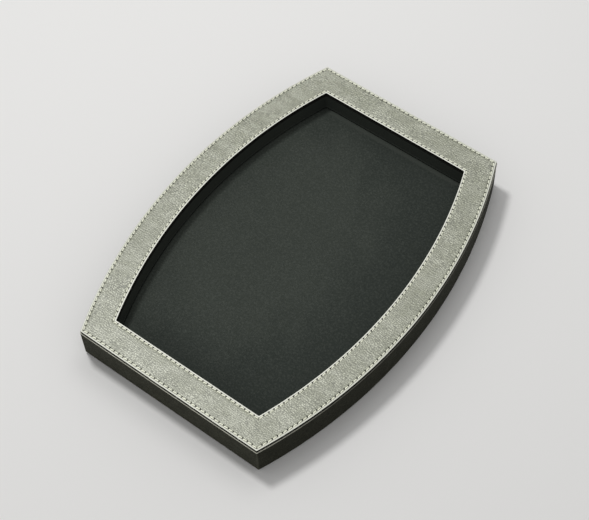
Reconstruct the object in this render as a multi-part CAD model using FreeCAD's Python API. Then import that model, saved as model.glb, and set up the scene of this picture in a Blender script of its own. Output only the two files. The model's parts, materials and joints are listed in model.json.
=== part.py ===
import FreeCAD
import Part

import math
import os

# Jewelry tray: a frame with two straight ends and two bowed sides, covered in leather,
# with a stitched leather band on its walls and a suede-lined floor.
# The origin is under the middle of the tray, on the surface that it stands on.
# +Y runs along the tray, +X across it and +Z up. Lengths are in millimetres, angles in degrees.
# An offset is a distance in from the tray's outline, square to the nearest wall.

# Outline of the tray, over the rim
overall_length = 300.0
end_width = 160.2
side_bulge = 30.4
overall_height = 31.0
rim_width = 23.2

# Rim: a top leather and a pale backing that shows as a step, with a stiffener set back between them.
# The top leather turns down over the inner edge in a lip that stands on the backing.
rim_leather_thickness = 1.2
rim_leather_setback = 0.6
rim_leather_edge_bevel = 0.4
rim_lip_width = 1.0
rim_lip_setback = 0.2
rim_lip_clearance = 0.2
rim_stiffener_thickness = 1.4
rim_stiffener_setback = 1.8
rim_backing_thickness = 1.0
rim_backing_edge_bevel = 0.3
rim_corner_radius = 1.2
rim_overhang = 0.3

# Stitching, sunk in a groove near each edge of the top leather
stitch_pitch = 4.15
stitch_inset = 2.1
stitch_slant = 7.0
needle_gap = 1.4
thread_width = 0.9
thread_height = 0.6
thread_crown_share = 0.55
stitch_length_share = 0.62
groove_depth = 0.35
groove_clearance = 0.1

# Leather on the outside of the walls, thinned where it turns in over the rails and under them
wall_leather_thickness = 1.0
wall_fold_bevel = 0.5
turn_in_thickness = 0.8
turn_in_gap = 3.0
bottom_turn_in = 10.0

# Suede lining on the inside of the walls
lining_thickness = 1.2
lining_fold_bevel = 0.4

# Frame rails and the base board in their rebate
base_board_thickness = 6.0
base_rebate = 8.0
board_clearance = 0.2
spline_width = 14.0
spline_thickness = 3.0
spline_clearance = 0.1
brad_length = 14.0
brad_width = 1.3
brad_thickness = 1.0
brad_head_width = 2.0
brad_head_height = 0.7
brad_clearance = 0.05
end_brad_shares = (-0.66, 0.0, 0.66)
side_brad_shares = (-0.72, -0.24, 0.24, 0.72)

# Floor pad: suede over foam over a board
pad_cover_thickness = 0.7
pad_foam_thickness = 3.0
pad_board_thickness = 2.3
pad_turn_in = 12.0
pad_edge_bevel = 1.2
pad_clearance = 0.3

# Underside
felt_thickness = 1.0
felt_margin = 4.0
card_clearance = 0.3

# Cuts run past the faces they open by this much, and places closer than this are the same place
overrun = 1.0
same_place = 0.01

# Outline: each bowed side is one arc, centred on the other side of the tray
half_length = overall_length / 2
half_width = end_width / 2 + side_bulge
bow_radius = (half_length ** 2 + side_bulge ** 2) / (2 * side_bulge)
bow_centre = half_width - bow_radius

# Offsets of the faces, counted from the outline inwards
wall_face = rim_overhang
rail_outer = wall_face + wall_leather_thickness
lining_face = rim_width - rim_overhang
rail_inner = lining_face - lining_thickness
rail_middle = (rail_outer + rail_inner) / 2
rebate_face = rail_inner - base_rebate
pad_face = lining_face + pad_clearance
leather_outer = rim_leather_setback
leather_inner = rim_width - rim_lip_setback
lip_face = leather_inner - rim_lip_width
stiffener_inner = lip_face - rim_lip_clearance

# Heights, from the surface that the tray stands on
card_bottom = felt_thickness
rail_bottom = card_bottom + turn_in_thickness
base_top = rail_bottom + base_board_thickness
pad_board_bottom = base_top + pad_cover_thickness
pad_foam_bottom = pad_board_bottom + pad_board_thickness
pad_cover_bottom = pad_foam_bottom + pad_foam_thickness
floor_top = pad_cover_bottom + pad_cover_thickness
leather_bottom = overall_height - rim_leather_thickness
stiffener_bottom = leather_bottom - rim_stiffener_thickness
backing_bottom = stiffener_bottom - rim_backing_thickness
rail_top = backing_bottom - turn_in_thickness
groove_floor = overall_height - groove_depth

Vector = FreeCAD.Vector
up = Vector(0, 0, 1)
centre = Vector(0, 0, 0)


# Outlines and slabs

def corner(offset):
    y = half_length - offset
    x = bow_centre + math.sqrt((bow_radius - offset) ** 2 - y ** 2)
    return x, y


def outline(offset, height):
    x, y = corner(offset)
    side = half_width - offset
    far_left = Vector(-x, y, height)
    far_right = Vector(x, y, height)
    near_right = Vector(x, -y, height)
    near_left = Vector(-x, -y, height)
    edges = [
        Part.LineSegment(far_left, far_right).toShape(),
        Part.Arc(far_right, Vector(side, 0, height), near_right).toShape(),
        Part.LineSegment(near_right, near_left).toShape(),
        Part.Arc(near_left, Vector(-side, 0, height), far_left).toShape(),
    ]
    return Part.Wire(edges)


def slab(offset, bottom, thickness):
    return Part.Face(outline(offset, bottom)).extrude(up * thickness)


def ring(outer, inner, bottom, thickness, corner_radius=0):
    hole = slab(inner, bottom - overrun, thickness + 2 * overrun)
    if corner_radius:
        uprights = [edge for edge in hole.Edges if edge.BoundBox.ZLength > same_place]
        hole = hole.makeFillet(corner_radius, uprights)
    return slab(outer, bottom, thickness).cut(hole)


def edges_at(solid, height):
    def level(edge):
        box = edge.BoundBox
        return abs(box.ZMin - height) < same_place and abs(box.ZMax - height) < same_place
    return [edge for edge in solid.Edges if level(edge)]


def turned(shape):
    copy = shape.copy()
    copy.rotate(centre, up, 180)
    return copy


# Places along a wall: share runs from -1 at one corner to 1 at the other

def wall_length(wall, offset):
    x, y = corner(offset)
    if wall == "end":
        return 2 * x
    return 2 * (bow_radius - offset) * math.asin(y / (bow_radius - offset))


def place(wall, offset, share):
    x, y = corner(offset)
    if wall == "end":
        return Vector(share * x, y, 0), 0
    reach = bow_radius - offset
    angle = share * math.asin(y / reach)
    return Vector(bow_centre + reach * math.cos(angle), reach * math.sin(angle), 0), math.degrees(angle) + 90


# Mitres: each wall is cut by an upright plane through its outer and inner corners

def mitre_line():
    outer_x, outer_y = corner(wall_face)
    inner_x, inner_y = corner(lining_face)
    slope = (outer_y - inner_y) / (outer_x - inner_x)
    return slope, outer_y - slope * outer_x


def mitre_wedge(wall):
    slope, crossing = mitre_line()
    reach = 2 * half_width
    far = crossing + slope * reach
    if wall == "end":
        points = [(0, crossing), (reach, far), (-reach, far)]
    else:
        points = [(0, crossing), (0, -crossing), (reach, -far), (reach, far)]
    corners = [Vector(x, y, -overrun) for x, y in points]
    face = Part.Face(Part.makePolygon(corners + corners[:1]))
    return face.extrude(up * (overall_height + 2 * overrun))


# Sections: closed outlines of (offset, height) points, some of their corners bevelled

def section(points, bevels):
    outline_points = []
    corners = [Vector(offset, height, 0) for offset, height in points]
    for index, point in enumerate(corners):
        if index in bevels:
            before = (corners[index - 1] - point).normalize()
            after = (corners[(index + 1) % len(corners)] - point).normalize()
            outline_points += [point + before * bevels[index], point + after * bevels[index]]
        else:
            outline_points.append(point)
    return Part.Face(Part.makePolygon(outline_points + outline_points[:1]))


def run_along(wall, face):
    face = face.copy()
    face.rotate(centre, Vector(1, 0, 0), 90)
    if wall == "end":
        face.rotate(centre, up, -90)
        face.translate(Vector(-half_width, half_length, 0))
        run = face.extrude(Vector(2 * half_width, 0, 0))
    else:
        face.rotate(centre, up, 180)
        face.translate(Vector(half_width, 0, 0))
        axis_point = Vector(bow_centre, 0, 0)
        sweep = 2 * math.degrees(math.asin(half_length / bow_radius))
        face.rotate(axis_point, up, -sweep / 2)
        run = face.revolve(axis_point, up, sweep)
    return run.common(mitre_wedge(wall)).Solids[0]


def rail_section():
    points = [
        (rail_outer, rail_bottom),
        (rebate_face, rail_bottom),
        (rebate_face, base_top),
        (rail_inner, base_top),
        (rail_inner, rail_top),
        (rail_outer, rail_top),
    ]
    return section(points, {})


def wall_leather_section():
    points = [
        (wall_face, card_bottom),
        (wall_face + bottom_turn_in, card_bottom),
        (wall_face + bottom_turn_in, rail_bottom),
        (rail_outer, rail_bottom),
        (rail_outer, rail_top),
        (rail_middle - turn_in_gap / 2, rail_top),
        (rail_middle - turn_in_gap / 2, backing_bottom),
        (wall_face, backing_bottom),
    ]
    return section(points, {0: wall_fold_bevel, 7: wall_fold_bevel})


def lining_section():
    points = [
        (rail_inner, base_top),
        (lining_face, base_top),
        (lining_face, backing_bottom),
        (rail_middle + turn_in_gap / 2, backing_bottom),
        (rail_middle + turn_in_gap / 2, rail_top),
        (rail_inner, rail_top),
    ]
    return section(points, {2: lining_fold_bevel})


# Frame

def splines(clearance, height):
    slope, crossing = mitre_line()
    inner_x = corner(rail_inner)[0]
    outer_x = corner(rail_outer)[0]
    x = (inner_x + outer_x) / 2
    width = spline_width + 2 * clearance
    thickness = spline_thickness + 2 * clearance
    plate = Part.makeBox(width, thickness, height, Vector(-width / 2, -thickness / 2, base_top))
    plate.rotate(centre, up, -math.degrees(math.atan2(1, slope)))
    plate.translate(Vector(x, crossing + slope * x, 0))
    mirrored = plate.mirror(centre, Vector(1, 0, 0))
    return Part.Compound([plate, mirrored, turned(plate), turned(mirrored)])


def brad(clearance):
    head = brad_head_width / 2 + clearance
    shank = brad_width / 2 + clearance
    thickness = brad_thickness + 2 * clearance
    neck = brad_head_height + clearance
    tip = brad_length + clearance
    half = [(head, 0), (head, neck), (shank, neck), (shank, tip)]
    other_half = [(-x, z) for x, z in reversed(half)]
    points = [Vector(x, -thickness / 2, z) for x, z in half + other_half]
    return Part.Face(Part.makePolygon(points + points[:1])).extrude(Vector(0, thickness, 0))


def brads(clearance):
    offset = (rebate_face + rail_inner) / 2
    shapes = []
    for wall, shares in (("end", end_brad_shares), ("side", side_brad_shares)):
        for share in shares:
            spot, heading = place(wall, offset, share)
            copy = brad(clearance)
            copy.rotate(centre, up, heading)
            copy.translate(spot + up * rail_bottom)
            shapes += [copy, turned(copy)]
    return Part.Compound(shapes)


def rail(wall):
    slots = splines(spline_clearance, rail_top - base_top + overrun)
    return run_along(wall, rail_section()).cut(slots).cut(brads(brad_clearance))


def base_board():
    board = slab(rebate_face + board_clearance, rail_bottom, base_board_thickness)
    return board.cut(brads(brad_clearance))


# Rim

def stitch_run(wall, offset):
    length = wall_length(wall, offset)
    return max(1, round(length / stitch_pitch)), length


def stitch_size(wall, offset):
    count, length = stitch_run(wall, offset)
    return length / count - needle_gap


def stitch(length):
    crown = thread_width * thread_crown_share / 2
    flat = length * stitch_length_share / 2
    shape = Part.makeWedge(
        -length / 2, 0, -thread_width / 2, -crown, -flat,
        length / 2, thread_height, thread_width / 2, crown, flat,
    )
    shape.rotate(centre, Vector(1, 0, 0), 90)
    return shape


def stitching(offset):
    shapes = []
    for wall in ("end", "side"):
        count = stitch_run(wall, offset)[0]
        pattern = stitch(stitch_size(wall, offset))
        for index in range(count):
            spot, heading = place(wall, offset, (2 * index + 1) / count - 1)
            copy = pattern.copy()
            copy.rotate(centre, up, heading + stitch_slant)
            copy.translate(spot + up * groove_floor)
            shapes += [copy, turned(copy)]
    return Part.Compound(shapes)


def groove(offset):
    slant = math.radians(stitch_slant)
    longest = max(stitch_size(wall, offset) for wall in ("end", "side"))
    half = (thread_width * math.cos(slant) + longest * math.sin(slant)) / 2 + groove_clearance
    return ring(offset - half, offset + half, groove_floor, groove_depth + overrun)


def rim_layer(outer, inner, bottom, thickness, edge_bevel, corner_radius=0):
    layer = ring(outer, inner, bottom, thickness, corner_radius)
    return layer.makeChamfer(edge_bevel, edges_at(layer, bottom + thickness))


def rim_leather():
    band = rim_layer(
        leather_outer, leather_inner, leather_bottom, rim_leather_thickness, rim_leather_edge_bevel,
        rim_corner_radius)
    lip = ring(lip_face, leather_inner, stiffener_bottom, rim_stiffener_thickness, rim_corner_radius)
    band = band.fuse(lip).removeSplitter()
    return band.cut(groove(leather_outer + stitch_inset)).cut(groove(leather_inner - stitch_inset))


def rim_stiffener():
    return ring(rim_stiffener_setback, stiffener_inner, stiffener_bottom, rim_stiffener_thickness)


def rim_backing():
    return rim_layer(0, rim_width, backing_bottom, rim_backing_thickness, rim_backing_edge_bevel)


# Floor pad

def pad_block(skin, bottom, top):
    block = slab(pad_face + skin, bottom, top - bottom)
    bevel = pad_edge_bevel - skin * (2 - math.sqrt(2))
    return block.makeChamfer(bevel, edges_at(block, top))


def pad_board():
    return slab(pad_face + pad_cover_thickness, pad_board_bottom, pad_board_thickness)


def pad_foam():
    return pad_block(pad_cover_thickness, pad_foam_bottom, pad_cover_bottom)


def pad_cover():
    opening = slab(pad_face + pad_turn_in, base_top - overrun, pad_cover_thickness + 2 * overrun)
    filling = pad_block(pad_cover_thickness, pad_board_bottom, pad_cover_bottom)
    return pad_block(0, base_top, floor_top).cut(filling).cut(opening)


# Underside

def underside_card():
    return slab(wall_face + bottom_turn_in + card_clearance, card_bottom, turn_in_thickness)


def underside_felt():
    return slab(wall_face + felt_margin, 0, felt_thickness)


nodes = {
    "base_board": base_board(),
    "base_brads": brads(0),
    "corner_splines": splines(0, rail_top - base_top),
    "rim_backing": rim_backing(),
    "rim_stiffener": rim_stiffener(),
    "rim_leather": rim_leather(),
    "outer_stitching": stitching(leather_outer + stitch_inset),
    "inner_stitching": stitching(leather_inner - stitch_inset),
    "pad_board": pad_board(),
    "pad_foam": pad_foam(),
    "pad_cover": pad_cover(),
    "underside_card": underside_card(),
    "underside_felt": underside_felt(),
}
for wall, first, second in (("end", "far", "near"), ("side", "right", "left")):
    pieces = {
        "rail": rail(wall),
        "leather": run_along(wall, wall_leather_section()),
        "lining": run_along(wall, lining_section()),
    }
    for name, piece in pieces.items():
        nodes[f"{first}_{wall}_{name}"] = piece
        nodes[f"{second}_{wall}_{name}"] = turned(piece)

os.makedirs("parts", exist_ok=True)
for name, shape in nodes.items():
    shape.exportStep(f"parts/{name}.step")
    print(name, "solids", len(shape.Solids), "valid", shape.isValid(), "volume", round(shape.Volume, 1))
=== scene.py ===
import json
import math
import random

import bmesh
import bpy
from mathutils import Matrix, Vector, noise


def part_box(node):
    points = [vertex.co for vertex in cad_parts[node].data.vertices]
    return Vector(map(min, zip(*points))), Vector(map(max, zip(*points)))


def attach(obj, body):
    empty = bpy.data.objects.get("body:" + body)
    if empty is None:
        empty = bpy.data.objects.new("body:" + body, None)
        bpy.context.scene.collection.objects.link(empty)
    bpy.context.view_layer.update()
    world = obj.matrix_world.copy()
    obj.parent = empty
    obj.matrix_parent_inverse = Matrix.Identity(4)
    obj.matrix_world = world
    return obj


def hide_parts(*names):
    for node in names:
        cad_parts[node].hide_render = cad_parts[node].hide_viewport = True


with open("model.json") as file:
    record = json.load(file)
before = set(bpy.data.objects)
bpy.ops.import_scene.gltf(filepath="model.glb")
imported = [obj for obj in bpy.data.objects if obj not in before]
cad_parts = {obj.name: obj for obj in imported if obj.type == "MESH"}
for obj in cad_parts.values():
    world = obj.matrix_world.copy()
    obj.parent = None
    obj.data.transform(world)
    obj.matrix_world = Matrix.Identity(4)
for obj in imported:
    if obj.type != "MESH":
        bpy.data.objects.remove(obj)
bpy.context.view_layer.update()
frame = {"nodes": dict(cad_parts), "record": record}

mm = 0.001

# sizes as in the solids; the outline over the rim has straight ends, and each side is one arc
tray = {
    "length": 300 * mm,
    "endWidth": 160.2 * mm,
    "sideBulge": 30.4 * mm,
    "rimWidth": 23.2 * mm,
    "padGap": 0.3 * mm,  # between the floor pad and the lining
    "liningThickness": 1.2 * mm,
}
halfLength = tray["length"] / 2
halfWidth = tray["endWidth"] / 2 + tray["sideBulge"]
bowRadius = (halfLength ** 2 + tray["sideBulge"] ** 2) / (2 * tray["sideBulge"])
bowCentre = halfWidth - bowRadius

# an offset is a distance in from that outline, square to the nearest wall
faces = {
    "wall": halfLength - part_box("far_end_leather")[1].y,
    "railOuter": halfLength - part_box("far_end_rail")[1].y,
    "lining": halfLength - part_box("pad_cover")[1].y - tray["padGap"],
    "pad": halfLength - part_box("pad_cover")[1].y,
    "felt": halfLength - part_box("underside_felt")[1].y,
}
heights = {
    "railBottom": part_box("far_end_rail")[0].z,
    "railTop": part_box("far_end_rail")[1].z,
    "wallBottom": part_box("far_end_leather")[0].z,
    "backingBottom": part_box("rim_backing")[0].z,
    "backingTop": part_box("rim_backing")[1].z,
    "leatherBottom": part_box("rim_leather")[0].z,
    "leatherTop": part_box("rim_leather")[1].z,
    "padBottom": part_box("pad_cover")[0].z,
    "padTop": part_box("pad_cover")[1].z,
}


def cornerAt(offset):
    y = halfLength - offset
    return bowCentre + math.sqrt((bowRadius - offset) ** 2 - y ** 2), y


def offsetOf(x, y):
    endOffset = halfLength - abs(y)
    sideOffset = bowRadius - math.hypot(abs(x) - bowCentre, y)
    return min(endOffset, sideOffset), endOffset < sideOffset


def halfAngleAt(offset):
    return math.asin(cornerAt(offset)[1] / (bowRadius - offset))


def wallLength(wall, offset):
    if wall == "end":
        return 2 * cornerAt(offset)[0]
    return 2 * (bowRadius - offset) * halfAngleAt(offset)


def placeOn(wall, offset, share):  # share runs from -1 at one corner to 1 at the other
    x, y = cornerAt(offset)
    if wall == "end":
        return Vector((share * x, y, 0)), 0.0
    angle = share * halfAngleAt(offset)
    reach = bowRadius - offset
    return Vector((bowCentre + reach * math.cos(angle), reach * math.sin(angle), 0)), angle + math.pi / 2


# lines of needle holes, with a whole number of stitches on each wall; the thread lies beside its holes
sewing = {
    "pitch": 4.15 * mm,
    "outerLine": 2.85 * mm,
    "innerLine": tray["rimWidth"] - 2.1 * mm,
    "threadShift": -0.3 * mm,
    "holeRadius": 0.62 * mm,
    "holeReach": 1.6,  # the leather dips within so many radii of a hole
    "holeDepth": 0.45 * mm,
    "grooveHalf": 0.9 * mm,
    "grooveDepth": 0.2 * mm,
}


def stitchCount(wall, line):
    return max(1, round(wallLength(wall, line) / sewing["pitch"]))


def holeDistance(x, y, line):  # distance from a point to the nearest needle hole of a stitch line
    offset, onEnd = offsetOf(x, y)
    wall = "end" if onEnd else "side"
    share = x / cornerAt(line)[0] if onEnd else math.atan2(y, abs(x) - bowCentre) / halfAngleAt(line)
    count = stitchCount(wall, line)
    phase = (share + 1) / 2 * count
    along = (phase - round(phase)) * wallLength(wall, line) / count
    return math.hypot(along, offset - line)


# top band of the rim: two sewn grooves, a rounded outer edge and a rolled inner lip
band = {
    "outer": 0.6 * mm,
    "inner": tray["rimWidth"] - 0.4 * mm,
    "lipWidth": 1.0 * mm,
    "outerRounding": 0.5 * mm,
    "lipRounding": 0.6 * mm,
    "undersideRounding": 0.15 * mm,
    "step": 0.62 * mm,
    "spacing": 1.4 * mm,
    "cornerGap": 0.3 * mm,
    "edgeDepth": 0.2 * mm,  # the top is cut fine to this depth; below it the edges take dark ink, which also stands in as painted shade
    "inkShadeInset": 0.5 * mm,  # holes and grooves, further in than this, get no ink or painted shade
    "inkShadeRise": 0.1 * mm,  # the ink and painted shade on the underside end at this height above it
    "suppleDepth": 0.6 * mm,  # unevenness and holes move the leather to this depth
    "waves": ((11 * mm, 0.07 * mm), (4 * mm, 0.03 * mm)),  # size and depth
}


# shader maths: a wire is a socket that can be used in plain sums
class Wire:
    def __init__(self, nodes, socket):
        self.nodes = nodes
        self.socket = socket

    def sum(self, operation, *values):
        return self.nodes.add("ShaderNodeMath", {"operation": operation}, dict(enumerate(values)))

    def __add__(self, other):
        return self.sum("ADD", self, other)

    def __radd__(self, other):
        return self.sum("ADD", other, self)

    def __sub__(self, other):
        return self.sum("SUBTRACT", self, other)

    def __rsub__(self, other):
        return self.sum("SUBTRACT", other, self)

    def __mul__(self, other):
        return self.sum("MULTIPLY", self, other)

    def __rmul__(self, other):
        return self.sum("MULTIPLY", other, self)

    def __truediv__(self, other):
        return self.sum("DIVIDE", self, other)

    def __lt__(self, other):
        return self.sum("LESS_THAN", self, other)

    def __abs__(self):
        return self.sum("ABSOLUTE", self)

    def least(self, other):
        return self.sum("MINIMUM", self, other)

    def most(self, other):
        return self.sum("MAXIMUM", self, other)

    def root(self):
        return self.sum("SQRT", self)


class Nodes:
    def __init__(self, tree):
        self.tree = tree

    def plug(self, socket, value):
        if isinstance(value, Wire):
            self.tree.links.new(value.socket, socket)
        elif socket.type == "RGBA":
            socket.default_value = (*value, 1)
        else:
            socket.default_value = value

    def add(self, kind, settings, sockets, out=0):
        node = self.tree.nodes.new(kind)
        for key, value in settings.items():
            setattr(node, key, value)
        for key, value in sockets.items():
            self.plug(node.inputs[key], value)
        return Wire(self, node.outputs[out])

    def seen(self):  # 1 for what the camera, gloss and glass see, 0 for light that bounces
        kinds = ("Camera", "Glossy", "Transmission")
        camera, gloss, glass = [self.add("ShaderNodeLightPath", {}, {}, f"Is {kind} Ray") for kind in kinds]
        return camera.most(gloss).most(glass)


class Finish(Nodes):
    def __init__(self, name, fixed):
        self.material = bpy.data.materials.new(name)
        self.material.use_nodes = True
        super().__init__(self.material.node_tree)
        self.shader = self.tree.nodes["Principled BSDF"]
        for key, value in fixed.items():
            self.plug(self.shader.inputs[key], value)
        here = self.add("ShaderNodeTexCoord", {}, {}, "Object")
        self.here = self.add("ShaderNodeVectorMath", {"operation": "SCALE"}, {0: here, "Scale": 1 / mm})

    def axes(self):  # millimetres along each axis of the frame
        return [self.add("ShaderNodeSeparateXYZ", {}, {0: self.here}, axis) for axis in "XYZ"]

    def stretched(self, scale, turn=0.0, at=None):  # drawn out along some axes, for streaks
        sockets = {"Vector": at or self.here, "Scale": scale, "Rotation": (0, 0, turn)}
        return self.add("ShaderNodeMapping", {"vector_type": "TEXTURE"}, sockets)

    def cloud(self, size, detail=2.0, rough=0.5, at=None, warp=0.0):  # noise with blobs about that many mm
        sockets = {"Vector": at or self.here, "Scale": 1 / size, "Detail": detail}
        sockets.update({"Roughness": rough, "Distortion": warp})
        return self.add("ShaderNodeTexNoise", {}, sockets, 0)

    def cells(self, size, at=None):  # distance to the edges of cells about that many mm
        sockets = {"Vector": at or self.here, "Scale": 1 / size}
        return self.add("ShaderNodeTexVoronoi", {"feature": "DISTANCE_TO_EDGE"}, sockets, 0)

    def creases(self, size, anisotropy, turn, at=None):  # fine creases about that many mm apart
        sockets = {"Vector": at or self.here, "Scale": 0.5 / size, "Frequency": 2.0}
        sockets.update({"Anisotropy": anisotropy, "Orientation": turn})
        return self.add("ShaderNodeTexGabor", {}, sockets, "Value")

    def warped(self, size, reach, at=None):  # a place pushed about by a noise
        push = self.add("ShaderNodeTexNoise", {}, {"Vector": at or self.here, "Scale": 1 / size}, "Color")
        centred = self.add("ShaderNodeVectorMath", {"operation": "SUBTRACT"}, {0: push, 1: (0.5, 0.5, 0.5)})
        pushed = self.add("ShaderNodeVectorMath", {"operation": "SCALE"}, {0: centred, "Scale": reach})
        return self.add("ShaderNodeVectorMath", {"operation": "ADD"}, {0: at or self.here, 1: pushed})

    def fade(self, value, low, high):  # 0 at low, 1 at high, eased between
        sockets = {"Value": value, "From Min": low, "From Max": high}
        return self.add("ShaderNodeMapRange", {"interpolation_type": "SMOOTHSTEP"}, sockets)

    def tint(self, share, first, second):
        return self.add("ShaderNodeMix", {"data_type": "RGBA"}, {0: share, 6: first, 7: second}, 2)

    def dress(self, colour, rough, height):  # height in millimetres
        self.plug(self.shader.inputs["Base Color"], colour)
        self.plug(self.shader.inputs["Roughness"], rough)
        bump = self.add("ShaderNodeBump", {}, {"Strength": 1.0, "Distance": mm, "Height": height})
        self.plug(self.shader.inputs["Normal"], bump)
        return self.material


# finishes, with all sizes in millimetres

def trayPlace(finish):  # where a point lies: its wall, its turn along a side and how far in it is
    x, y, z = finish.axes()
    endOffset = halfLength / mm - abs(y)
    sideX = abs(x) - bowCentre / mm
    sideOffset = bowRadius / mm - (sideX * sideX + y * y).root()
    return {
        "x": x,
        "z": z,
        "turn": y.sum("ARCTAN2", y, sideX),
        "offset": endOffset.least(sideOffset),
        "onEnd": endOffset < sideOffset,
        "fromCorner": abs(endOffset - sideOffset),
    }


def rimLeatherFinish():
    look = {
        "grey": (0.515, 0.531, 0.418),
        "olive": (0.332, 0.348, 0.243),
        "brown": (0.262, 0.277, 0.185),
        "hollowShade": (0.06, 0.064, 0.044),
        "shade": (0.20, 0.205, 0.147),
        "raisedLit": (0.665, 0.683, 0.543),
        "wornAndLit": (0.72, 0.727, 0.636),
        "rubbed": (0.90, 0.905, 0.81),
        "hole": (0.016, 0.017, 0.008),
    }
    sizes = {
        "pebble": 1.0,
        "tone": 0.62,
        "crease": 1.6,
        "fine": 0.45,
        "blotch": 8.0,
        "patch": 22.0,
        "holeEdge": (0.56, 0.80),
        "wornLitEdge": (0.7, 1.5),
        "lipHighlightEdge": (1.4, 0.9),
    }
    finish = Finish("rimLeather", {"Specular IOR Level": 0.6, "Coat Roughness": 0.44})
    place = trayPlace(finish)
    offset = place["offset"]
    outer, inner = band["outer"] / mm, band["inner"] / mm
    holes = 0
    for line in (sewing["outerLine"], sewing["innerLine"]):
        shares = {"end": place["x"] / (cornerAt(line)[0] / mm), "side": place["turn"] / halfAngleAt(line)}
        runs = {}
        for wall, share in shares.items():
            count = stitchCount(wall, line)
            phase = (share + 1) * (count / 2)
            runs[wall] = phase.sum("PINGPONG", phase, 0.5) * (wallLength(wall, line) / count / mm)
        along = runs["side"] + (runs["end"] - runs["side"]) * place["onEnd"]
        across = offset - line / mm
        away = (along * along + across * across).root()
        holes = holes + (1 - finish.fade(away, *sizes["holeEdge"]))

    drawn = finish.stretched((1.4, 1.0, 1.0), 0.25, at=finish.warped(60.0, 40.0))
    pebble = finish.cells(sizes["pebble"], at=finish.warped(1.2, 0.5, at=drawn))
    raisedLit = finish.fade(pebble, 0.0, 0.22)
    tone = finish.cloud(sizes["tone"], 3.0, 0.65, at=drawn, warp=0.4)
    crease = finish.creases(sizes["crease"], 0.85, math.pi / 2, at=finish.warped(40.0, 9.0))
    fine = finish.cloud(sizes["fine"], 2.0)
    blotch = finish.cloud(sizes["blotch"], 3.0, 0.55, at=finish.stretched((2.2, 1.0, 1.0), 0.2))
    patch = finish.cloud(sizes["patch"], 3.0, 0.6)

    colour = finish.tint(finish.fade(blotch, 0.38, 0.62), look["grey"], look["olive"])
    colour = finish.tint(finish.fade(patch, 0.46, 0.64) * 0.85, colour, look["brown"])
    # painted highlight and shade: the grain is paler on its rises and darker in its lows, following the
    # bump, over the leather's own mottled tone
    for grain, strength in ((tone, 0.34), (crease, 0.68)):
        colour = finish.tint(finish.fade(grain, 0.52, 0.34) * strength, colour, look["shade"])
        colour = finish.tint(finish.fade(grain, 0.48, 0.68) * strength, colour, look["raisedLit"])
    # the hollows between the pebbles are darker: partly the leather's own tone, partly painted shade
    colour = finish.tint((1 - raisedLit) * 0.8, colour, look["hollowShade"])
    fromEdge = (offset - outer).least(inner - offset)
    # worn edges and painted highlight: both margins are paler, as worn leather and as light catching the
    # rounded edges
    wearAndHighlight = 1 - finish.fade(fromEdge + (tone - 0.5) * 0.8, *sizes["wornLitEdge"])
    colour = finish.tint(wearAndHighlight * 0.85, colour, look["wornAndLit"])
    # painted highlight: the inner lip is paled with the rubbed colour where its rounded edge catches the
    # light
    lipHighlight = finish.fade(offset + (tone - 0.5) * 0.6, *[inner - depth for depth in sizes["lipHighlightEdge"]])
    colour = finish.tint(lipHighlight * 0.42, colour, look["rubbed"])
    # painted shade: the needle holes are coloured near-black for the shade inside them
    colour = finish.tint(holes, colour, look["hole"])
    rough = 0.58 - raisedLit * 0.12 + (fine - 0.5) * 0.2
    height = raisedLit * 0.07 + fine * 0.01 + tone * 0.04 + crease * 0.05 - holes * 0.3
    finish.plug(finish.shader.inputs["Coat Weight"], (1 - holes) * (0.7 + raisedLit * 0.3))
    return finish.dress(colour, rough, height)


# dark edge ink: real ink on the cut edges, and painted shade on edges and ledges that lie in shade
def edgeInkAndShadeFinish():
    look = {"black": (0.008, 0.008, 0.007), "rubbed": (0.022, 0.022, 0.018)}
    finish = Finish("edgeInkAndShade", {"Specular IOR Level": 0.04})
    brushed = finish.cloud(0.6, 3.0, 0.6, at=finish.stretched((5.0, 5.0, 1.0)))
    rubbed = finish.cloud(3.0, 3.0)
    colour = finish.tint(finish.fade(rubbed, 0.5, 0.75) * 0.7, look["black"], look["rubbed"])
    return finish.dress(colour, 0.75 + (brushed - 0.5) * 0.3, brushed * 0.04)


def wallLeatherFinish():
    # the walls are a dark olive leather, coloured darker still as painted shade on the walls
    look = {
        "olive": (0.045, 0.046, 0.034),
        "dark": (0.018, 0.018, 0.013),
        "wornAndLit": (0.088, 0.088, 0.066),
    }
    sizes = {
        "pebble": 1.2,
        "blotch": 9.0,
        "streak": 1.6,
        "fine": 0.4,
        "foot": (1.2, 2.6),
        "rubbedLitCorner": (0.3, 1.1),
    }
    finish = Finish("wallLeather", {"Specular IOR Level": 0.05})
    place = trayPlace(finish)
    pebble = finish.cells(sizes["pebble"], at=finish.warped(2.2, 0.8))
    hollowShade = 1 - finish.fade(pebble, 0.0, 0.15)
    blotch = finish.cloud(sizes["blotch"], 3.0, 0.6)
    streak = finish.cloud(sizes["streak"], 3.0, 0.6, at=finish.stretched((1.6, 1.6, 1.0)))
    fine = finish.cloud(sizes["fine"], 2.0)
    colour = finish.tint(finish.fade(blotch, 0.35, 0.7) * 0.45, look["olive"], look["dark"])
    # the hollows between the pebbles are darker: partly the leather's own tone, partly painted shade
    colour = finish.tint(hollowShade * 0.9, colour, look["dark"])
    colour = finish.tint(finish.fade(streak, 0.48, 0.7) * 0.28, colour, look["wornAndLit"])
    foot = 1 - finish.fade(place["z"] + (blotch - 0.5) * 1.5, *sizes["foot"])
    colour = finish.tint(foot * 0.35, colour, look["wornAndLit"])
    # worn corners and painted highlight: the walls are paler along their corners, as rubbed leather and as
    # light catching the corner edges
    rubbed = 1 - finish.fade(place["fromCorner"] + (blotch - 0.5) * 0.6, *sizes["rubbedLitCorner"])
    colour = finish.tint(rubbed * 0.6, colour, look["wornAndLit"])
    rough = 0.64 + hollowShade * 0.12 + (fine - 0.5) * 0.2
    height = finish.fade(pebble, 0.0, 0.28) * 0.05 + fine * 0.02 + streak * 0.03
    return finish.dress(colour, rough, height)


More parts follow.
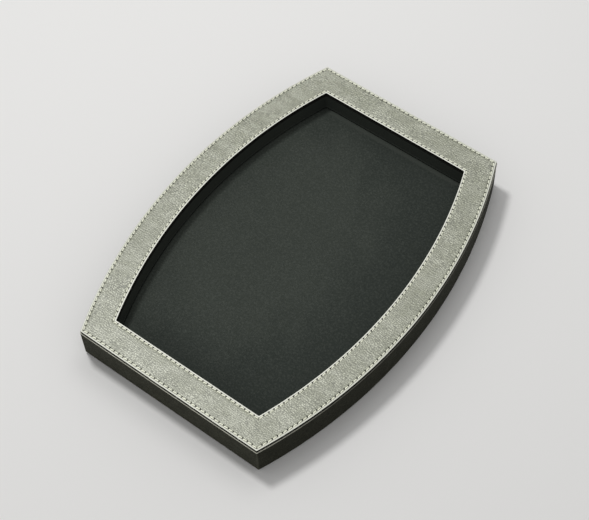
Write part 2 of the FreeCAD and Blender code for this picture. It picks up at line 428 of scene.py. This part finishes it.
def suedeFinish():
    look = {
        "nap": (0.034, 0.040, 0.035),
        "brushed": (0.049, 0.056, 0.048),
        "tuft": (0.072, 0.080, 0.070),
        "deep": (0.016, 0.019, 0.016),
        "border": (0.060, 0.067, 0.058),
        "wall": (0.028, 0.032, 0.027),
    }
    sizes = {
        "nap": 0.5,
        "fibre": 0.9,
        "mottle": 1.6,
        "brushed": 30.0,
        "brushedLitPool": (25.0, 95.0),
        "border": (3.5, 6.0),
        "upright": (0.2, 1.2),
    }
    sheen = {"Sheen Weight": 0.02, "Sheen Roughness": 0.5, "Sheen Tint": (0.8, 0.85, 0.78)}
    finish = Finish("suede", {"Specular IOR Level": 0.02, **sheen})
    place = trayPlace(finish)
    nap = finish.cloud(sizes["nap"], 3.0, 0.7)
    fibre = finish.cloud(sizes["fibre"], 3.0, 0.65, at=finish.stretched((1.0, 3.0, 1.0), 0.35))
    mottle = finish.cloud(sizes["mottle"], 3.0, 0.7)
    brushed = finish.cloud(sizes["brushed"], 3.0, 0.55, at=finish.stretched((1.0, 1.8, 1.0), 0.5))
    # brushed patches of nap and a painted pool of light: the suede is paler towards the middle of the floor
    # and towards the left
    inward = place["offset"] - place["x"] * 0.5 + (brushed - 0.5) * 120
    brushedLitPool = finish.fade(inward, *sizes["brushedLitPool"])
    colour = finish.tint(brushedLitPool, look["nap"], look["brushed"])
    colour = finish.tint(finish.fade(mottle, 0.44, 0.66) * (0.45 + brushedLitPool * 0.25), colour, look["tuft"])
    colour = finish.tint(finish.fade(nap, 0.55, 0.3) * 0.65, colour, look["deep"])
    borderEdge = [faces["pad"] / mm + width for width in sizes["border"]]
    border = 1 - finish.fade(place["offset"] + (mottle - 0.5) * 1.5, *borderEdge)
    colour = finish.tint(border * place["onEnd"] * 0.6, colour, look["border"])
    upright = finish.fade(place["z"], *[heights["padTop"] / mm + rise for rise in sizes["upright"]])
    colour = finish.tint(upright * 0.85, colour, look["wall"])  # painted shade: the suede is darker on the upright walls, where less light falls
    rough = 0.9 + (nap - 0.5) * 0.15
    height = nap * 0.10 + fibre * 0.08
    return finish.dress(colour, rough, height)


def backingFinish():
    look = {
        "cream": (0.50, 0.495, 0.415),
        "tan": (0.36, 0.35, 0.275),
        "dust": (0.58, 0.575, 0.50),
        "sideShade": (0.10, 0.098, 0.078),
    }
    finish = Finish("rimBacking", {"Specular IOR Level": 0.3})
    place = trayPlace(finish)
    fibre = finish.cloud(0.7, 3.0, 0.6)
    soil = finish.cloud(6.0, 3.0, 0.6)
    layer = finish.cloud(0.5, 2.0, 0.5, at=finish.stretched((6.0, 6.0, 1.0)))
    colour = finish.tint(finish.fade(soil, 0.42, 0.72) * 0.6, look["cream"], look["tan"])
    colour = finish.tint(finish.fade(fibre, 0.5, 0.75) * 0.5, colour, look["dust"])
    shadedSides = 1 - finish.fade(abs(place["turn"]) + (soil - 0.5) * 0.1, 0.22, 0.37)  # painted shade: the ledge is darkened along the sides, where it lies in the band's shadow
    colour = finish.tint((1 - place["onEnd"]) * shadedSides * 0.8, colour, look["sideShade"])
    rough = 0.66 + (fibre - 0.5) * 0.2
    return finish.dress(colour, rough, fibre * 0.05 + layer * 0.05)


def threadFinish():
    look = {"cream": (0.955, 0.967, 0.805), "shade": (0.92, 0.93, 0.745), "twists": 3.0, "plies": 2.0}
    finish = Finish("thread", {"Specular IOR Level": 0.35})
    around = finish.add("ShaderNodeUVMap", {"uv_map": "twist"}, {})
    u, v = [finish.add("ShaderNodeSeparateXYZ", {}, {0: around}, axis) for axis in "XY"]
    lay = u * look["twists"] + v * look["plies"]
    strand = lay.sum("PINGPONG", lay, 0.5) * 2
    wax = finish.cloud(2.5, 2.0)
    fuzz = finish.cloud(0.18, 2.0)
    colour = finish.tint(1 - finish.fade(strand, 0.0, 0.5), look["cream"], look["shade"])
    colour = finish.tint(finish.fade(wax, 0.5, 0.75) * 0.3, colour, look["shade"])
    rough = 0.55 + (fuzz - 0.5) * 0.3
    return finish.dress(colour, rough, finish.fade(strand, 0.0, 0.8) * 0.06 + fuzz * 0.03)


def feltFinish():
    look = {"dark": (0.024, 0.027, 0.023), "fibre": (0.055, 0.06, 0.052)}
    finish = Finish("felt", {"Specular IOR Level": 0.15, "Sheen Weight": 0.15, "Sheen Roughness": 0.6})
    mat = finish.cloud(0.8, 4.0, 0.7, warp=1.5)
    patch = finish.cloud(9.0, 2.0)
    colour = finish.tint(finish.fade(mat, 0.45, 0.75), look["dark"], look["fibre"])
    colour = finish.tint(finish.fade(patch, 0.45, 0.7) * 0.3, colour, look["fibre"])
    return finish.dress(colour, 0.9 + (mat - 0.5) * 0.15, mat * 0.16)


def boardFinish(name, look, size, depth):  # pressed boards: specks, soft blotches and a layered edge
    finish = Finish(name, {"Specular IOR Level": 0.25})
    speck = finish.cloud(size, 3.0, 0.7)
    blotch = finish.cloud(size * 12, 3.0)
    layer = finish.cloud(size * 0.8, 2.0, 0.5, at=finish.stretched((12.0, 12.0, 1.0)))
    colour = finish.tint(finish.fade(speck, 0.35, 0.7), look["base"], look["speck"])
    colour = finish.tint(finish.fade(layer, 0.5, 0.7) * 0.5, colour, look["dark"])
    colour = finish.tint(finish.fade(blotch, 0.45, 0.75) * 0.3, colour, look["dark"])
    return finish.dress(colour, 0.78 + (speck - 0.5) * 0.2, speck * depth + layer * depth)


# painted shade: the board is coloured near-black so that the gap between the band and the backing reads as
# a dark line
def stiffenerShadeFinish():
    look = {"base": (0.016, 0.016, 0.013), "speck": (0.028, 0.027, 0.022), "dark": (0.009, 0.009, 0.008)}
    return boardFinish("stiffenerBoardShade", look, 0.5, 0.05)


def fibreboardFinish():
    look = {"base": (0.40, 0.29, 0.18), "speck": (0.50, 0.37, 0.24), "dark": (0.31, 0.21, 0.12)}
    return boardFinish("fibreboard", look, 0.4, 0.04)


def cardFinish():
    look = {"base": (0.33, 0.31, 0.27), "speck": (0.42, 0.39, 0.35), "dark": (0.25, 0.23, 0.20)}
    return boardFinish("greyCard", look, 0.35, 0.03)


def plywoodFinish():
    look = {"pale": (0.66, 0.50, 0.31), "dark": (0.48, 0.33, 0.18), "glue": (0.22, 0.13, 0.07), "ply": 0.7}
    finish = Finish("splineWood", {"Specular IOR Level": 0.3})
    z = finish.axes()[2]
    grain = finish.cloud(0.6, 4.0, 0.6, at=finish.stretched((1.0, 1.0, 14.0)))
    ply = z.sum("PINGPONG", z, look["ply"])
    colour = finish.tint(finish.fade(grain, 0.4, 0.7), look["pale"], look["dark"])
    colour = finish.tint(1 - finish.fade(ply, 0.04, 0.14), colour, look["glue"])
    return finish.dress(colour, 0.6 + (grain - 0.5) * 0.2, grain * 0.06)


def steelFinish():
    look = {"bright": (0.58, 0.58, 0.57), "dull": (0.40, 0.39, 0.37)}
    finish = Finish("bradSteel", {"Metallic": 1.0})
    drawn = finish.cloud(0.3, 3.0, 0.6, at=finish.stretched((1.0, 1.0, 20.0)))
    stain = finish.cloud(1.5, 3.0)
    colour = finish.tint(finish.fade(stain, 0.4, 0.75), look["bright"], look["dull"])
    return finish.dress(colour, 0.3 + (drawn - 0.5) * 0.2, drawn * 0.02)


def foamFinish():
    look = {"pale": (0.72, 0.70, 0.62), "pore": (0.42, 0.40, 0.33)}
    finish = Finish("foam", {"Specular IOR Level": 0.2})
    cell = finish.cells(0.7)
    pore = 1 - finish.fade(cell, 0.05, 0.2)
    age = finish.cloud(20.0, 2.0)
    colour = finish.tint(pore, look["pore"], look["pale"])
    colour = finish.tint(finish.fade(age, 0.4, 0.7) * 0.3, colour, look["pore"])
    return finish.dress(colour, 0.85 + (age - 0.5) * 0.1, pore * 0.12)


finishes = {
    "rim_leather": rimLeatherFinish(),
    "wall_leather": wallLeatherFinish(),
    "suede": suedeFinish(),
    "rim_backing": backingFinish(),
    "thread": threadFinish(),
    "felt": feltFinish(),
    "stiffener_board": stiffenerShadeFinish(),
    "fibreboard": fibreboardFinish(),
    "card": cardFinish(),
    "spline_wood": plywoodFinish(),
    "brad_steel": steelFinish(),
    "foam": foamFinish(),
}
edgeInkAndShade = edgeInkAndShadeFinish()
print("finishes", len(finishes) + 1)


# modelling: runs are swept past the corners and then cut on the mitre
sweeping = {
    "overrun": 2 * mm,
    "turnOverrun": 0.02,
    "roundSegments": 4,
    "cutTolerance": 1e-7,
}


def sweepRun(wall, points, fineAbove, spacing, step):
    # a closed section of (offset, height, rounding) points, drawn once and carried along a wall
    bm = bmesh.new()
    corners = [bm.verts.new((halfWidth - offset, 0, height)) for offset, height, rounding in points]
    bm.faces.new(corners)
    for vert, (offset, height, rounding) in zip(corners, points):
        if rounding:
            bmesh.ops.bevel(
                bm, geom=[vert], offset=rounding, segments=sweeping["roundSegments"], profile=0.5,
                affect="VERTICES", material=-1)
    bmesh.ops.delete(bm, geom=bm.faces[:], context="FACES_ONLY")
    for edge in bm.edges[:]:
        level = min(vert.co.z for vert in edge.verts)
        cuts = int(edge.calc_length() / spacing)
        if cuts and level > fineAbove:
            bmesh.ops.subdivide_edges(bm, edges=[edge], cuts=cuts)
    if wall == "end":
        reach = cornerAt(0)[0] + sweeping["overrun"]
        steps = round(2 * reach / step)
        bmesh.ops.rotate(bm, verts=bm.verts, cent=(0, 0, 0), matrix=Matrix.Rotation(math.pi / 2, 3, "Z"))
        bmesh.ops.translate(bm, verts=bm.verts, vec=(-reach, halfLength - halfWidth, 0))
        bmesh.ops.spin(
            bm, geom=bm.verts[:] + bm.edges[:], cent=(0, 0, 0), axis=(0, 0, 1),
            dvec=(2 * reach / steps, 0, 0), angle=0, steps=steps)
    else:
        sweep = 2 * halfAngleAt(0) + sweeping["turnOverrun"]
        steps = round(sweep * bowRadius / step)
        hub = (bowCentre, 0, 0)
        bmesh.ops.rotate(bm, verts=bm.verts, cent=hub, matrix=Matrix.Rotation(-sweep / 2, 3, "Z"))
        bmesh.ops.spin(
            bm, geom=bm.verts[:] + bm.edges[:], cent=hub, axis=(0, 0, 1), angle=sweep, steps=steps)
    return bm


def trimMitres(bm, wall, gap):
    # both ends are cut on the line through the wall's outer and inner corners, short of it by a gap
    outer, inner = Vector((*cornerAt(0), 0)), Vector((*cornerAt(tray["rimWidth"]), 0))
    line = (outer - inner).normalized()
    towards = Vector((line.y, -line.x, 0)) if wall == "end" else Vector((-line.y, line.x, 0))
    flip = Vector((-1, 1, 1)) if wall == "end" else Vector((1, -1, 1))
    for side in (Vector((1, 1, 1)), flip):
        bmesh.ops.bisect_plane(
            bm, geom=bm.verts[:] + bm.edges[:] + bm.faces[:], dist=sweeping["cutTolerance"],
            plane_co=(outer - towards * gap) * side, plane_no=towards * side, clear_outer=True)


def addTurned(bm, part, turn):
    # joins a part to another mesh, turned about the middle of the tray
    bmesh.ops.rotate(part, verts=part.verts, cent=(0, 0, 0), matrix=Matrix.Rotation(turn, 3, "Z"))
    mesh = bpy.data.meshes.new("part")
    part.to_mesh(mesh)
    bm.from_mesh(mesh)
    bpy.data.meshes.remove(mesh)


def quarterOf(edge):  # right or left, far or near
    middle = (edge.verts[0].co + edge.verts[1].co) / 2
    return middle.x > 0, middle.y > 0


def ringAround(points, fineAbove, spacing, step, gap):
    # four runs, joined across the corners
    bm = bmesh.new()
    for wall in ("end", "side"):
        run = sweepRun(wall, points, fineAbove, spacing, step)
        trimMitres(run, wall, gap)
        addTurned(bm, run, 0)
        addTurned(bm, run, math.pi)
        run.free()
    openEdges = [edge for edge in bm.edges if edge.is_boundary]
    for quarter in ((True, True), (True, False), (False, True), (False, False)):
        bmesh.ops.bridge_loops(bm, edges=[edge for edge in openEdges if quarterOf(edge) == quarter])
    return bm


def ripple(point, size, depth):  # gentle unevenness of hand-laid leather
    return depth * noise.noise(point / size)


def inkAndShadeFaces(bm, inkedAndShaded):  # the second material goes on faces whose offset and height pass a test
    for face in bm.faces:
        x, y, z = face.calc_center_median()
        if inkedAndShaded(offsetOf(x, y)[0], z):
            face.material_index = 1


def placePiece(name, bm, slotName, node):
    mesh = bpy.data.meshes.new(name)
    bm.to_mesh(mesh)
    bm.free()
    mesh.shade_smooth()
    mesh.materials.append(finishes[slotName])
    piece = bpy.data.objects.new(name, mesh)
    bpy.context.scene.collection.objects.link(piece)
    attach(piece, "root")
    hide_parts(node)
    print("piece", name, "faces", len(mesh.polygons))
    return piece


def placeShell(name, bm, slotName, node, sharpAngle=35):  # a piece that has an outside and sharp edges
    bmesh.ops.recalc_face_normals(bm, faces=bm.faces)
    piece = placePiece(name, bm, slotName, node)
    piece.data.set_sharp_from_angle(angle=math.radians(sharpAngle))
    return piece


def grooveAcross(line):
    middle = line + sewing["threadShift"]
    half, depth, top = sewing["grooveHalf"], sewing["grooveDepth"], heights["leatherTop"]
    shape = ((-1.0, 0.0), (-0.55, 0.6), (0.0, 1.0), (0.55, 0.6), (1.0, 0.0))
    return [(middle + across * half, top - deep * depth, 0) for across, deep in shape]


def rimLeather():
    top, bottom = heights["leatherTop"], heights["leatherBottom"]
    edgeLevel = top - band["edgeDepth"]
    lip = band["inner"] - band["lipWidth"]
    points = [
        (band["outer"], bottom, band["undersideRounding"]),
        (band["outer"], top, band["outerRounding"]),
        *grooveAcross(sewing["outerLine"]),
        *grooveAcross(sewing["innerLine"]),
        (band["inner"], top, band["lipRounding"]),
        (band["inner"], heights["backingTop"], band["undersideRounding"]),
        (lip, heights["backingTop"], 0),
        (lip, bottom, 0),
    ]
    bm = ringAround(points, edgeLevel, band["spacing"], band["step"], band["cornerGap"])
    for vert in bm.verts:
        x, y, z = vert.co
        if z < top - band["suppleDepth"]:
            continue
        line = sewing["outerLine"] if offsetOf(x, y)[0] < tray["rimWidth"] / 2 else sewing["innerLine"]
        near = max(0, 1 - holeDistance(x, y, line) / (sewing["holeReach"] * sewing["holeRadius"]))
        vert.co.z += sum(ripple(vert.co, size, depth) for size, depth in band["waves"])
        vert.co.z -= sewing["holeDepth"] * near ** 2

    # the cut edges take dark ink, which also serves as painted shade below the band's top
    def inkedAndShaded(offset, z):
        sewn = band["outer"] + band["inkShadeInset"] < offset < band["inner"] - band["inkShadeInset"]
        return z < edgeLevel and not (sewn and z > bottom + band["inkShadeRise"])

    inkAndShadeFaces(bm, inkedAndShaded)
    piece = placeShell("rimLeather", bm, "rim_leather", "rim_leather")
    piece.data.materials.append(edgeInkAndShade)


# pale ring under the band, darkened below its top edge and over its inner part with ink that also stands in
# as painted shade under the band
backing = {
    "bottomRounding": 0.2 * mm,
    "topRounding": 0.3 * mm,
    "spacing": 3 * mm,
    "step": 2.5 * mm,
    "cornerGap": 0.3 * mm,
    "fineDepth": 0.01 * mm,
    "inkShadeDepth": 0.25 * mm,
    "inkShadeWidth": 3 * mm,
}


def rimBacking():
    top, bottom, inner = heights["backingTop"], heights["backingBottom"], tray["rimWidth"]
    points = [
        (0, bottom, backing["bottomRounding"]),
        (0, top, backing["topRounding"]),
        (inner, top, backing["topRounding"]),
        (inner, bottom, backing["bottomRounding"]),
    ]
    bm = ringAround(
        points, top - backing["fineDepth"], backing["spacing"], backing["step"], backing["cornerGap"])

    # the darkened faces are ink on the cut edge and painted shade where the ring lies under the band
    def inkedAndShaded(offset, z):
        return z < top - backing["inkShadeDepth"] or offset > inner - backing["inkShadeWidth"]

    inkAndShadeFaces(bm, inkedAndShaded)
    piece = placeShell("rimBacking", bm, "rim_backing", "rim_backing")
    piece.data.materials.append(edgeInkAndShade)


rimLeather()
rimBacking()

# covering of the walls: leather outside, suede inside, both turned in over the rails
covering = {
    "leatherFold": 0.6 * mm,
    "suedeFold": 0.5 * mm,
    "bottomTurnIn": 10 * mm,
    "turnInGap": 3 * mm,
    "leatherDepth": 0.06 * mm,
    "suedeDepth": 0.05 * mm,
    "wave": 14 * mm,
    "spacing": 2 * mm,
    "step": 2.5 * mm,
    "cornerGap": 0.02 * mm,
}
railInner = faces["lining"] - tray["liningThickness"]
railMiddle = (faces["railOuter"] + railInner) / 2


def wallLeatherPoints():
    wall, fold = faces["wall"], covering["leatherFold"]
    turnIn = railMiddle - covering["turnInGap"] / 2
    return [
        (wall, heights["wallBottom"], fold),
        (wall + covering["bottomTurnIn"], heights["wallBottom"], 0),
        (wall + covering["bottomTurnIn"], heights["railBottom"], 0),
        (faces["railOuter"], heights["railBottom"], 0),
        (faces["railOuter"], heights["railTop"], 0),
        (turnIn, heights["railTop"], 0),
        (turnIn, heights["backingBottom"], 0),
        (wall, heights["backingBottom"], fold),
    ]


def liningPoints():
    turnIn = railMiddle + covering["turnInGap"] / 2
    return [
        (railInner, heights["padBottom"], 0),
        (faces["lining"], heights["padBottom"], 0),
        (faces["lining"], heights["backingBottom"], covering["suedeFold"]),
        (turnIn, heights["backingBottom"], 0),
        (turnIn, heights["railTop"], 0),
        (railInner, heights["railTop"], 0),
    ]


def coverRun(wall, points, depth, turn):
    run = sweepRun(wall, points, 0, covering["spacing"], covering["step"])
    trimMitres(run, wall, covering["cornerGap"])
    bmesh.ops.holes_fill(run, edges=[edge for edge in run.edges if edge.is_boundary])
    bmesh.ops.recalc_face_normals(run, faces=run.faces)
    for vert in run.verts:
        vert.co += vert.normal * ripple(vert.co, covering["wave"], depth)
    bmesh.ops.rotate(run, verts=run.verts, cent=(0, 0, 0), matrix=Matrix.Rotation(turn, 3, "Z"))
    return run


def wallCovers(place, wall, turn):
    title = place + wall.capitalize()
    node = f"{place}_{wall}"
    leather = coverRun(wall, wallLeatherPoints(), covering["leatherDepth"], turn)
    placeShell(title + "Leather", leather, "wall_leather", node + "_leather")
    suede = coverRun(wall, liningPoints(), covering["suedeDepth"], turn)
    lining = placeShell(title + "Lining", suede, "suede", node + "_lining")
    rise = heights["backingBottom"] - heights["padBottom"]
    width = rise + faces["lining"] - railMiddle - covering["turnInGap"] / 2
    wallLength(wall, railMiddle)


wallCovers("far", "end", 0)
wallCovers("near", "end", math.pi)
wallCovers("right", "side", 0)
wallCovers("left", "side", math.pi)


# floor pad and felt: sheets of the tray's own outline
def barrel(u, v, offset):
    y = v * (halfLength - offset)
    return u * (bowCentre + math.sqrt((bowRadius - offset) ** 2 - y ** 2)), y


def barrelGrid(offset, columns, rows, height):
    bm = bmesh.new()
    bmesh.ops.create_grid(bm, x_segments=columns, y_segments=rows, size=1)
    for vert in bm.verts:
        vert.co = (*barrel(vert.co.x, vert.co.y, offset), height)
    return bm


def drawOutline(bm, before, after, height):
    # extrudes the open edge of a barrel sheet to another offset and height
    rim = [edge for edge in bm.edges if edge.is_boundary]
    made = bmesh.ops.extrude_edge_only(bm, edges=rim)["geom"]
    for vert in made:
        if isinstance(vert, bmesh.types.BMVert):
            v = vert.co.y / (halfLength - before)
            u = vert.co.x / barrel(1, v, before)[0]
            vert.co = (*barrel(u, v, after), height)
    return rim


pad = {
    "columns": 70,
    "rows": 104,
    "thickness": 0.7 * mm,
    "turnIn": 12 * mm,
    "edge": 1.5 * mm,
    "edgeSegments": 4,
    "leastUpright": 1 * mm,  # edges that rise further than this are uprights
    "cornerAngle": math.radians(30),
    "crown": 0.3 * mm,
    "crownReach": 18 * mm,
    "suppleDepth": 2 * mm,
    "slack": 0.14 * mm,
    "wave": 22 * mm,
}


def padCover():
    offset, top, bottom = faces["pad"], heights["padTop"], heights["padBottom"]
    bm = barrelGrid(offset, pad["columns"], pad["rows"], top)
    topRim = drawOutline(bm, offset, offset, bottom)
    drawOutline(bm, offset, offset + pad["turnIn"], bottom)
    rises = {edge: abs(edge.verts[0].co.z - edge.verts[1].co.z) for edge in bm.edges}
    uprights = [edge for edge in bm.edges if rises[edge] > pad["leastUpright"]]
    sharp = [edge for edge in uprights if edge.calc_face_angle(0) > pad["cornerAngle"]]
    bmesh.ops.recalc_face_normals(bm, faces=bm.faces)
    bmesh.ops.bevel(
        bm, geom=topRim + sharp, offset=pad["edge"], segments=pad["edgeSegments"], profile=0.5,
        affect="EDGES", material=-1, clamp_overlap=True)
    for vert in bm.verts:
        x, y, z = vert.co
        if z > top - pad["suppleDepth"]:
            inward = max(0, offsetOf(x, y)[0] - offset)
            settle = 1 - math.exp(-inward / pad["crownReach"])
            vert.co.z += pad["crown"] * settle + ripple(vert.co, pad["wave"], pad["slack"]) * settle
    piece = placeShell("padCover", bm, "suede", "pad_cover")
    skin = piece.modifiers.new("skin", "SOLIDIFY")
    skin.thickness = pad["thickness"]
    skin.offset = -1


felt = {"columns": 40, "rows": 56, "thickness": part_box("underside_felt")[1].z}


def undersideFelt():
    bm = barrelGrid(faces["felt"], felt["columns"], felt["rows"], 0)
    bmesh.ops.reverse_faces(bm, faces=bm.faces)
    piece = placePiece("undersideFelt", bm, "felt", "underside_felt")
    body = piece.modifiers.new("body", "SOLIDIFY")
    body.thickness = felt["thickness"]
    body.offset = -1
    flat = 2 * (halfWidth - faces["felt"]), 2 * (halfLength - faces["felt"])


padCover()
undersideFelt()

# stitches: one short length of thread that dips at both ends, set along both lines
thread = {
    "radius": 0.39 * mm,
    "sides": 8,
    "bend": 0.75 * mm,
    "dip": math.radians(62),
    "bendSteps": 2,
    "sharpAngle": 60,
    "gap": 1.5 * mm,
    "lift": -0.15 * mm,
    "slant": math.radians(7),
    "slantSpread": (0.7, 1.3),
    "flat": 0.82,
    "flatSpread": (0.94, 1.05),
    "seed": 7,
}


def stitchMesh(length):
    bend, dip, steps = thread["bend"], thread["dip"], thread["bendSteps"]
    straight = length - 2 * bend * math.sin(dip)
    start, end = (-straight / 2, 0, -bend), (straight / 2, 0, -bend)
    bm = bmesh.new()
    bmesh.ops.create_circle(bm, segments=thread["sides"], radius=thread["radius"])
    bmesh.ops.rotate(bm, verts=bm.verts, cent=(0, 0, 0), matrix=Matrix.Rotation(math.pi / 2, 3, "Y"))
    bmesh.ops.translate(bm, verts=bm.verts, vec=(-straight / 2, 0, 0))
    bmesh.ops.rotate(bm, verts=bm.verts, cent=start, matrix=Matrix.Rotation(-dip, 3, "Y"))
    last = bm.verts[:] + bm.edges[:]
    for middle, turn, move in ((start, dip, 0), ((0, 0, 0), 0, straight / steps), (end, dip, 0)):
        spun = bmesh.ops.spin(
            bm, geom=last, cent=middle, axis=(0, 1, 0), dvec=(move, 0, 0), angle=turn, steps=steps)
        last = spun["geom_last"]
    bmesh.ops.holes_fill(bm, edges=[edge for edge in bm.edges if edge.is_boundary])
    bmesh.ops.recalc_face_normals(bm, faces=bm.faces)
    twist = bm.loops.layers.uv.new("twist")
    for face in bm.faces:
        middle = face.calc_center_median()
        facing = math.atan2(middle.y, middle.z)
        for loop in face.loops:
            turn = math.atan2(loop.vert.co.y, loop.vert.co.z) - facing
            turn = (turn + math.pi) % (2 * math.pi) - math.pi
            loop[twist].uv = (loop.vert.co.x / length + 0.5, (facing + turn) / (2 * math.pi))
    mesh = bpy.data.meshes.new("stitch")
    bm.to_mesh(mesh)
    bm.free()
    return mesh


def stitches(name, line, node):
    draw = random.Random(thread["seed"])
    seat = heights["leatherTop"] - sewing["grooveDepth"] + thread["radius"] + thread["lift"]
    bm = bmesh.new()
    for wall in ("end", "side"):
        count = stitchCount(wall, line)
        mesh = stitchMesh(wallLength(wall, line) / count - thread["gap"])
        for index in range(count):
            spot, heading = placeOn(wall, line + sewing["threadShift"], (2 * index + 1) / count - 1)
            for turn in (0, math.pi):
                first = len(bm.verts)
                bm.from_mesh(mesh)
                bm.verts.ensure_lookup_table()
                heel = thread["slant"] * draw.uniform(*thread["slantSpread"])
                flat = thread["flat"] * draw.uniform(*thread["flatSpread"])
                place = Matrix.Rotation(turn, 4, "Z") @ Matrix.Translation((spot.x, spot.y, seat))
                place = place @ Matrix.Rotation(heading + heel, 4, "Z") @ Matrix.Scale(flat, 4, (0, 0, 1))
                bmesh.ops.transform(bm, matrix=place, verts=bm.verts[first:])
        bpy.data.meshes.remove(mesh)
    placeShell(name, bm, "thread", node, thread["sharpAngle"])


stitches("outerStitches", sewing["outerLine"], "outer_stitching")
stitches("innerStitches", sewing["innerLine"], "inner_stitching")

# parts that stay as the solids they are
for entry in frame["record"]["subparts"]:
    node = frame["nodes"][entry["node"]]
    if not node.hide_render:
        node.data.materials.clear()
        node.data.materials.append(finishes[entry["material_slot"]])
        print("finish on", entry["node"])

# floor, light and camera
studio = {
    "floor": (0.85, 0.845, 0.832),
    "floorBounce": (0.06, 0.06, 0.058),
    "floorSize": 6.0,
    "floorDrop": 0.1 * mm,
    "openingInset": 0.5 * mm,  # below the felt the floor is open, so that light reaches it
    "backdrop": (0.86, 0.86, 0.85),
    "ambient": 0.43,
    "lamps": {  # power, size, distance, azimuth, elevation
        "leftKey": (14.5, 0.35, 1.90, math.radians(-102), math.radians(65)),
        "backFill": (1.0, 0.50, 1.00, math.radians(-165), math.radians(65)),
        "frontFill": (0.34, 0.30, 0.427, math.radians(1), math.radians(20)),
    },
    "offTheFloor": "frontFill",  # so low that it would leave a hot spot there
}


def direction(azimuth, elevation):
    level = math.cos(elevation)
    return Vector((math.sin(azimuth) * level, -math.cos(azimuth) * level, math.sin(elevation)))


def makeFloor():
    bm = bmesh.new()
    bmesh.ops.create_grid(bm, x_segments=4, y_segments=4, size=studio["floorSize"])
    bmesh.ops.translate(bm, verts=bm.verts, vec=(0, 0, -studio["floorDrop"]))
    mesh = bpy.data.meshes.new("floor")
    bm.to_mesh(mesh)
    bm.free()
    finish = Finish("floor", {"Specular IOR Level": 0.1, "Roughness": 0.9})
    colour = finish.tint(finish.seen(), studio["floorBounce"], studio["floor"])
    finish.plug(finish.shader.inputs["Base Color"], colour)
    opening = 1 - (trayPlace(finish)["offset"] < (faces["felt"] + studio["openingInset"]) / mm)
    fromBelow = finish.add("ShaderNodeNewGeometry", {}, {}, "Backfacing")
    clear = finish.add("ShaderNodeBsdfTransparent", {}, {})
    solid = Wire(finish, finish.shader.outputs[0])
    both = finish.add("ShaderNodeMixShader", {}, {0: opening.most(fromBelow), 1: solid, 2: clear})
    finish.plug(finish.tree.nodes["Material Output"].inputs["Surface"], both)
    mesh.materials.append(finish.material)
    floor = bpy.data.objects.new("floor", mesh)
    bpy.context.scene.collection.objects.link(floor)
    return floor


def makeLamps(floor):
    shaded = bpy.data.collections.new("shaded")
    shaded.objects.link(floor)
    shaded.collection_objects[0].light_linking.link_state = "EXCLUDE"
    for name, (power, size, distance, azimuth, elevation) in studio["lamps"].items():
        data = bpy.data.lights.new(name, "AREA")
        data.shape = "DISK"
        data.size = size
        data.energy = power
        lamp = bpy.data.objects.new(name, data)
        bpy.context.scene.collection.objects.link(lamp)
        towards = direction(azimuth, elevation)
        lamp.location = towards * distance + Vector((0, 0, heights["leatherTop"]))
        lamp.rotation_euler = towards.to_track_quat("Z", "Y").to_euler()
        lamp.visible_camera = False
        if name == studio["offTheFloor"]:
            lamp.light_linking.receiver_collection = shaded


def makeSurround():
    world = bpy.data.worlds.new("studio")
    bpy.context.scene.world = world
    world.use_nodes = True
    sky = Nodes(world.node_tree)
    light = sky.add("ShaderNodeBackground", {}, {"Color": (1, 1, 1), "Strength": studio["ambient"]})
    shown = sky.add("ShaderNodeBackground", {}, {"Color": studio["backdrop"]})
    both = sky.add("ShaderNodeMixShader", {}, {0: sky.seen(), 1: light, 2: shown})
    sky.plug(sky.tree.nodes["World Output"].inputs["Surface"], both)


view = {
    "azimuth": math.radians(39.652),
    "elevation": math.radians(57.684),
    "roll": math.radians(-3.234),
    "distance": 1112.94 * mm,
    "target": Vector((8.376 * mm, -11.533 * mm, heights["leatherTop"])),
    "lens": 92.906,
    "sensor": 36.0,
    "nearest": 0.05,
    "furthest": 20,
}


def makeCamera():
    data = bpy.data.cameras.new("camera")
    data.lens = view["lens"]
    data.sensor_width = view["sensor"]
    data.clip_start = view["nearest"]
    data.clip_end = view["furthest"]
    camera = bpy.data.objects.new("camera", data)
    bpy.context.scene.collection.objects.link(camera)
    back = direction(view["azimuth"], view["elevation"])
    right = Vector((math.cos(view["azimuth"]), math.sin(view["azimuth"]), 0))
    up = back.cross(right)
    cosine, sine = math.cos(view["roll"]), math.sin(view["roll"])
    rolledRight, rolledUp = right * cosine + up * sine, up * cosine - right * sine
    turn = Matrix((rolledRight, rolledUp, back)).transposed().to_4x4()
    camera.matrix_world = Matrix.Translation(view["target"] + back * view["distance"]) @ turn
    bpy.context.scene.camera = camera


makeLamps(makeFloor())
makeSurround()
makeCamera()
bpy.context.scene.view_settings.view_transform = "Standard"
print("stage set")
